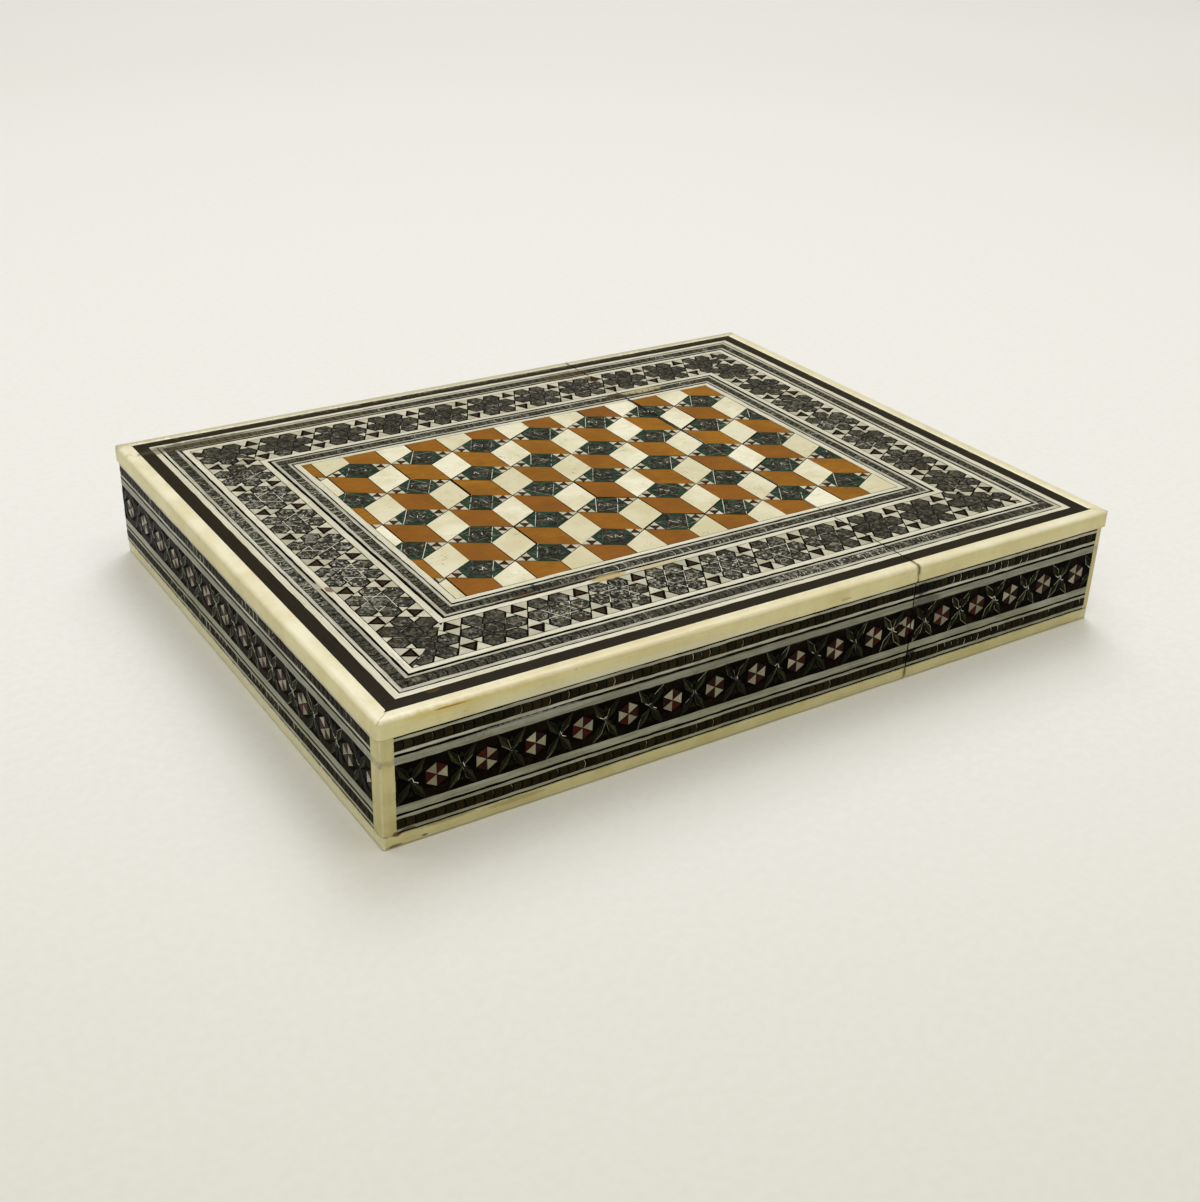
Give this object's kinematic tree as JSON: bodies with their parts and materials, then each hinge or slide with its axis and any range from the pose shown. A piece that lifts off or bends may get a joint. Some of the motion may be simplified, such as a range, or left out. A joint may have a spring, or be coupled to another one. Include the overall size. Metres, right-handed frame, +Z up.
{
  "type": "card case",
  "caption": "Flat rectangular card case veneered in micromosaic with bone edges; its short end pulls off a liner neck as a lid.",
  "frame": {"origin": "centre of the footprint, on the lower face that the case lies on", "axes": "+X along the case towards the lid, +Y across it to the far long side, +Z up through the thickness"},
  "size_m": [0.104, 0.082, 0.0158],
  "materials": {
    "bone": "polished bone, warm cream with fine brown grain",
    "ebony": "polished, near black",
    "stringing": "polished strings of bone, pewter and ebony",
    "rosette_mosaic": "polished mosaic of ebony, pewter wire and bone",
    "block_mosaic": "polished mosaic of bone, orange wood and stained hexagons",
    "star_mosaic": "polished mosaic of stained ebony, pewter wire and bone",
    "carcass_wood": "plain sandalwood",
    "liner_wood": "plain sandalwood, rubbed smooth"
  },
  "bodies": {
    "case": {"case_upper_board": "carcass_wood", "case_upper_ebony_border": "ebony", "case_upper_outer_stringing": "stringing", "case_upper_rosette_band": "rosette_mosaic", "case_upper_inner_stringing": "stringing", "case_upper_block_panel": "block_mosaic", "case_upper_near_edge": "bone", "case_upper_end_edge": "bone", "case_upper_far_edge": "bone", "case_lower_board": "carcass_wood", "case_lower_ebony_border": "ebony", "case_lower_outer_stringing": "stringing", "case_lower_rosette_band": "rosette_mosaic", "case_lower_inner_stringing": "stringing", "case_lower_block_panel": "block_mosaic", "case_lower_near_edge": "bone", "case_lower_end_edge": "bone", "case_lower_far_edge": "bone", "case_near_wall": "carcass_wood", "case_far_wall": "carcass_wood", "case_end_wall": "carcass_wood", "case_near_star_veneer": "star_mosaic", "case_far_star_veneer": "star_mosaic", "case_end_star_veneer": "star_mosaic", "case_near_corner_post": "bone", "case_far_corner_post": "bone", "liner_upper": "liner_wood", "liner_lower": "liner_wood", "liner_near": "liner_wood", "liner_far": "liner_wood"},
    "lid": {"lid_upper_board": "carcass_wood", "lid_upper_ebony_border": "ebony", "lid_upper_outer_stringing": "stringing", "lid_upper_rosette_band": "rosette_mosaic", "lid_upper_inner_stringing": "stringing", "lid_upper_block_panel": "block_mosaic", "lid_upper_near_edge": "bone", "lid_upper_end_edge": "bone", "lid_upper_far_edge": "bone", "lid_lower_board": "carcass_wood", "lid_lower_ebony_border": "ebony", "lid_lower_outer_stringing": "stringing", "lid_lower_rosette_band": "rosette_mosaic", "lid_lower_inner_stringing": "stringing", "lid_lower_block_panel": "block_mosaic", "lid_lower_near_edge": "bone", "lid_lower_end_edge": "bone", "lid_lower_far_edge": "bone", "lid_near_wall": "carcass_wood", "lid_far_wall": "carcass_wood", "lid_end_wall": "carcass_wood", "lid_near_star_veneer": "star_mosaic", "lid_far_star_veneer": "star_mosaic", "lid_end_star_veneer": "star_mosaic", "lid_near_corner_post": "bone", "lid_far_corner_post": "bone"}
  },
  "joints": [
    {"name": "lid_slide", "type": "slide", "parent": "case", "child": "lid", "axis": [1, 0, 0], "range_m": [0, 0.03]}
  ]
}
